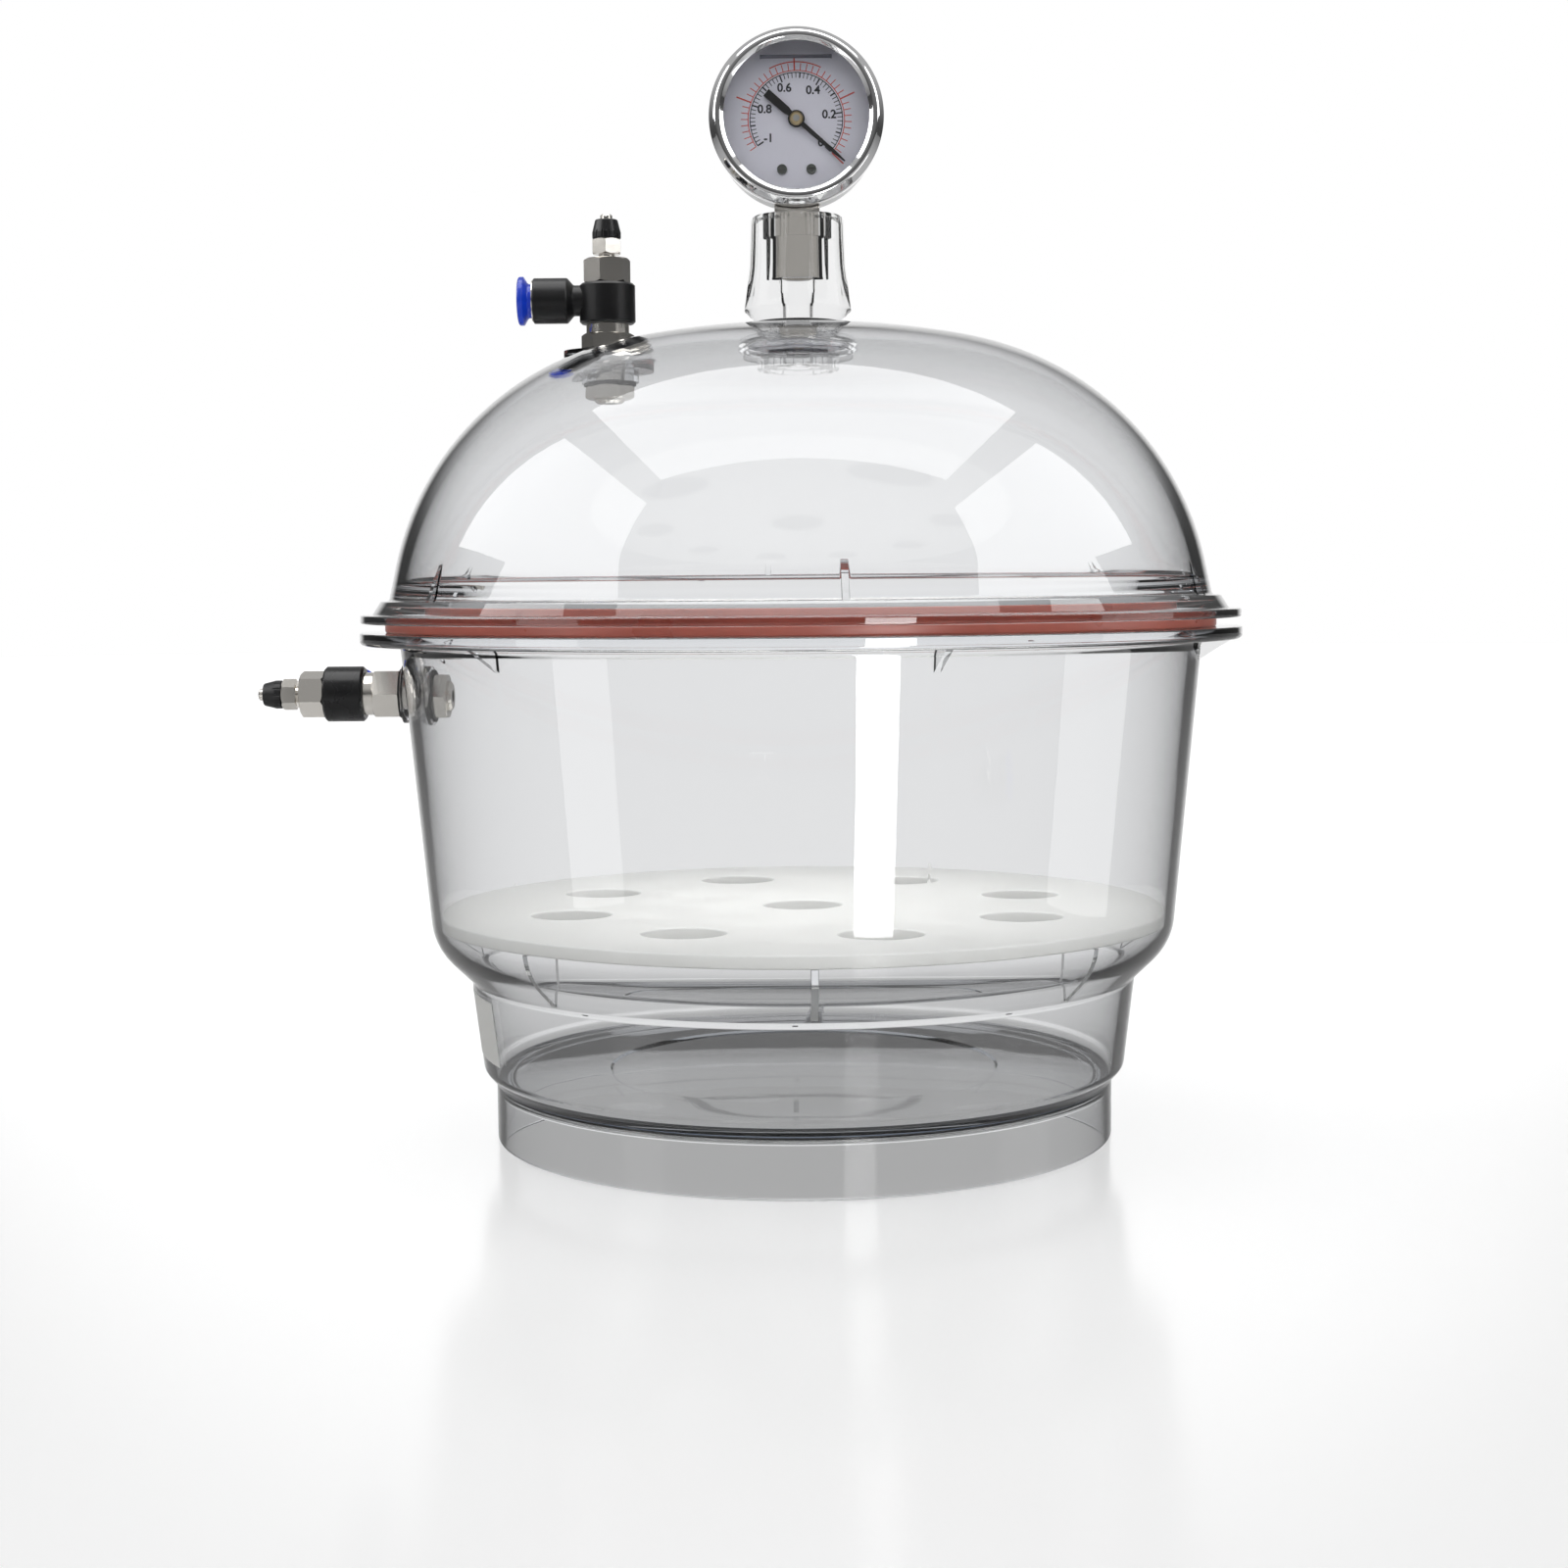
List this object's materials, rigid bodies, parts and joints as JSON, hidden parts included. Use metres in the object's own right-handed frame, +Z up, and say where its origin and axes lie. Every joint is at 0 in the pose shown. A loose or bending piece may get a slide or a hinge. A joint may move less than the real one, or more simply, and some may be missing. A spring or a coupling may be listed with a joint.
{
  "type": "vacuum chamber",
  "caption": "Clear round vacuum chamber: bowl on a foot ring, domed lid on a silicone ring, perforated plate, vacuum gauge in a fluted cap, flow valves with push-in ports.",
  "frame": {"origin": "centre of the foot ring's bottom plane", "axes": "+Z up along the chamber's axis, -Y the way the dial faces, -X towards the valves"},
  "size_m": [0.3117, 0.277, 0.3454],
  "materials": {
    "clear_shell": "clear polycarbonate, polished",
    "clear_fitting": "clear acrylic, polished",
    "silicone": "red-brown silicone",
    "white_plate": "satin white",
    "black_rubber": "matt rubber",
    "nickel": "bright nickel plate",
    "stainless": "satin stainless steel",
    "bezel_chrome": "polished stainless steel",
    "window": "clear",
    "dial": "matt white print",
    "dark_screw": "blackened steel",
    "pointer_black": "matt black",
    "brass": "plain brass",
    "steel": "turned steel",
    "bronze": "phosphor bronze",
    "black_plastic": "black moulded plastic",
    "blue_plastic": "blue moulded plastic"
  },
  "bodies": {
    "chamber": {"bowl": "clear_shell", "dome_lid": "clear_shell", "seal_ring": "silicone", "partition_plate": "white_plate", "cap_seal": "black_rubber", "fluted_cap": "clear_fitting", "cap_nut": "clear_fitting", "gauge_insert": "nickel", "gauge_case": "stainless", "fill_plug": "black_rubber", "gauge_bezel": "bezel_chrome", "window_seal": "black_rubber", "gauge_window": "window", "gauge_dial": "dial", "dial_screws": "dark_screw", "gauge_socket": "nickel", "bourdon_tube": "bronze", "movement_frame": "brass", "top_valve_wall_seal": "black_rubber", "top_valve_wall_nut": "nickel", "top_valve_inner_seal": "black_rubber", "top_valve_inner_nut": "nickel", "top_valve_collar": "nickel", "top_valve_stud": "nickel", "top_valve_o_rings": "black_rubber", "side_valve_wall_seal": "black_rubber", "side_valve_wall_nut": "nickel", "side_valve_inner_seal": "black_rubber", "side_valve_inner_nut": "nickel", "side_valve_collar": "nickel", "side_valve_stud": "nickel", "side_valve_o_rings": "black_rubber"},
    "pointer": {"pointer": "pointer_black", "pointer_hub": "brass", "pinion_arbor": "steel"},
    "top_valve_arm": {"top_valve_banjo": "black_plastic", "top_valve_tube_seal": "black_rubber", "top_valve_grip_ring": "steel", "top_valve_mouth_ring": "nickel"},
    "top_valve_release": {"top_valve_release_ring": "blue_plastic"},
    "top_valve_screw": {"top_valve_needle": "nickel", "top_valve_lock_nut": "nickel"},
    "top_valve_grip": {"top_valve_knob": "black_plastic"},
    "side_valve_arm": {"side_valve_banjo": "black_plastic", "side_valve_tube_seal": "black_rubber", "side_valve_grip_ring": "steel", "side_valve_mouth_ring": "nickel"},
    "side_valve_release": {"side_valve_release_ring": "blue_plastic"},
    "side_valve_screw": {"side_valve_needle": "nickel", "side_valve_lock_nut": "nickel"},
    "side_valve_grip": {"side_valve_knob": "black_plastic"}
  },
  "joints": [
    {"name": "pointer_turn", "type": "hinge", "parent": "chamber", "child": "pointer", "pos_m": [0, 0, 0.3184], "axis": [0, -1, 0], "range_deg": [0, 270]},
    {"name": "top_valve_swivel", "type": "hinge", "parent": "chamber", "child": "top_valve_arm", "pos_m": [-0.06, 0, 0.2644], "axis": [0, 0, 1], "continuous": true},
    {"name": "top_valve_release_push", "type": "slide", "parent": "top_valve_arm", "child": "top_valve_release", "axis": [1, 0, 0], "range_m": [0, 0.001], "stiffness_N_per_m": 400},
    {"name": "top_valve_screw_lift", "type": "slide", "parent": "chamber", "child": "top_valve_screw", "axis": [0, 0, 1], "range_m": [-0.00104, 0.00206]},
    {"name": "top_valve_knob_turn", "type": "hinge", "parent": "top_valve_screw", "child": "top_valve_grip", "pos_m": [-0.06, 0, 0.2865], "axis": [0, 0, 1], "range_deg": [-540, 1060]},
    {"name": "side_valve_swivel", "type": "hinge", "parent": "chamber", "child": "side_valve_arm", "pos_m": [-0.1465, 0, 0.141], "axis": [-1, 0, 0], "continuous": true},
    {"name": "side_valve_release_push", "type": "slide", "parent": "side_valve_arm", "child": "side_valve_release", "axis": [0, -1, 0], "range_m": [0, 0.001], "stiffness_N_per_m": 400},
    {"name": "side_valve_screw_lift", "type": "slide", "parent": "chamber", "child": "side_valve_screw", "axis": [-1, 0, 0], "range_m": [-0.00104, 0.00206]},
    {"name": "side_valve_knob_turn", "type": "hinge", "parent": "side_valve_screw", "child": "side_valve_grip", "pos_m": [-0.1686, 0, 0.141], "axis": [-1, 0, 0], "range_deg": [-540, 1060]}
  ],
  "couplings": [
    {"joint": "top_valve_knob_turn", "follows": "top_valve_screw_lift", "rad_per_m": 8976},
    {"joint": "side_valve_knob_turn", "follows": "side_valve_screw_lift", "rad_per_m": 8976}
  ]
}
